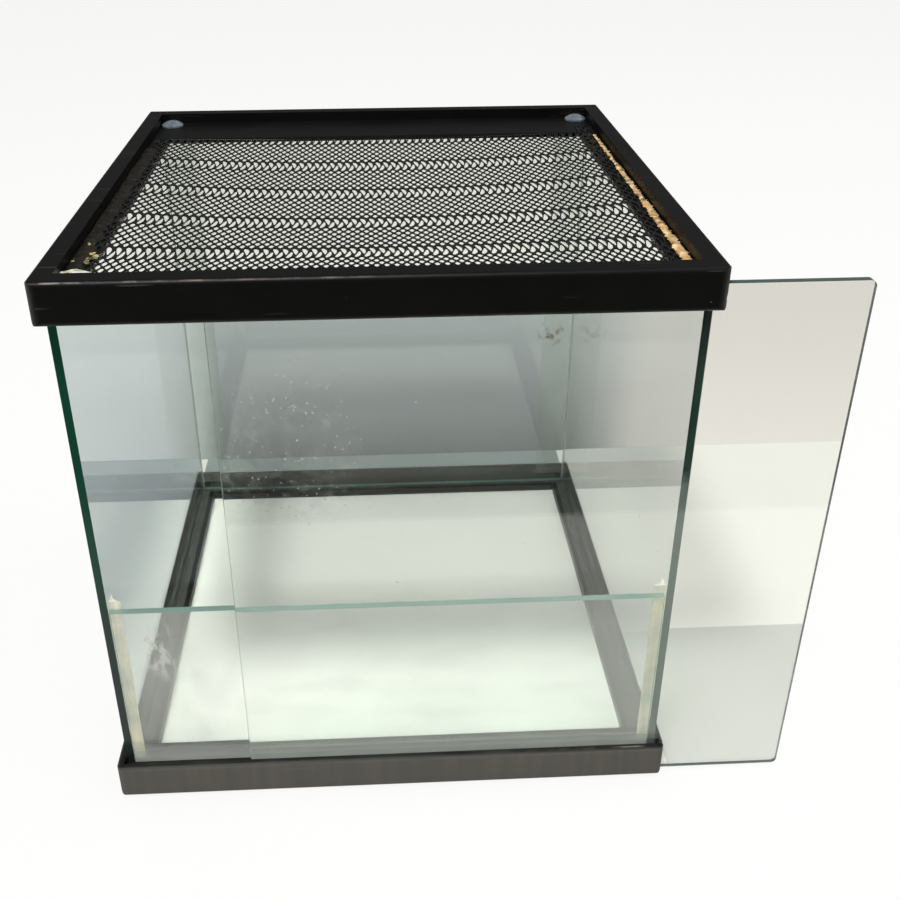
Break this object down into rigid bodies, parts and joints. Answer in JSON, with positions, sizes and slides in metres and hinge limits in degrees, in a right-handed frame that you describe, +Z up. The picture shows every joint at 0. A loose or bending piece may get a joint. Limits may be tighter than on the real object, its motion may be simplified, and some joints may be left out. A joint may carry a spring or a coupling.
{
  "type": "reptile terrarium",
  "caption": "Front-opening glass reptile terrarium with moulded black base and top frames, a sliding glass door in tracks, a low fixed sill pane and a mesh top.",
  "frame": {"origin": "centre of the base frame's outline on the plane that the tank stands on", "axes": "+X to the right seen from the door side, the way the door draws out; +Y from the door towards the back pane; +Z up"},
  "size_m": [0.374, 0.307, 0.31],
  "materials": {
    "frame_plastic": "satin black moulded plastic with fine scratches",
    "pane_glass": "clear float glass with green edges, hazy",
    "door_glass": "clear float glass with ground edges",
    "mesh_metal": "black painted expanded steel sheet",
    "amber_glue": "hardened amber contact glue",
    "dark_glue": "dirty hardened glue",
    "pale_glue": "bubbly pale hardened glue",
    "pad_rubber": "clear soft bumper pad",
    "silicone": "clear silicone sealant, smeared"
  },
  "bodies": {
    "tank": {"base_frame": "frame_plastic", "top_frame": "frame_plastic", "floor_glass": "pane_glass", "back_glass": "pane_glass", "left_glass": "pane_glass", "right_glass": "pane_glass", "sill_glass": "pane_glass", "mesh_screen": "mesh_metal", "glue_right": "amber_glue", "glue_left": "dark_glue", "glue_front_dab": "pale_glue", "bumper_left": "pad_rubber", "bumper_right": "pad_rubber", "seal_back_left": "silicone", "seal_back_right": "silicone", "seal_front_left": "silicone", "seal_front_right": "silicone", "seal_floor_back": "silicone", "seal_floor_left": "silicone", "seal_floor_right": "silicone", "seal_floor_front": "silicone"},
    "door": {"sliding_door": "door_glass"}
  },
  "joints": [
    {"name": "door_slide", "type": "slide", "parent": "tank", "child": "door", "axis": [1, 0, 0], "range_m": [-0.07, 0.205]}
  ]
}
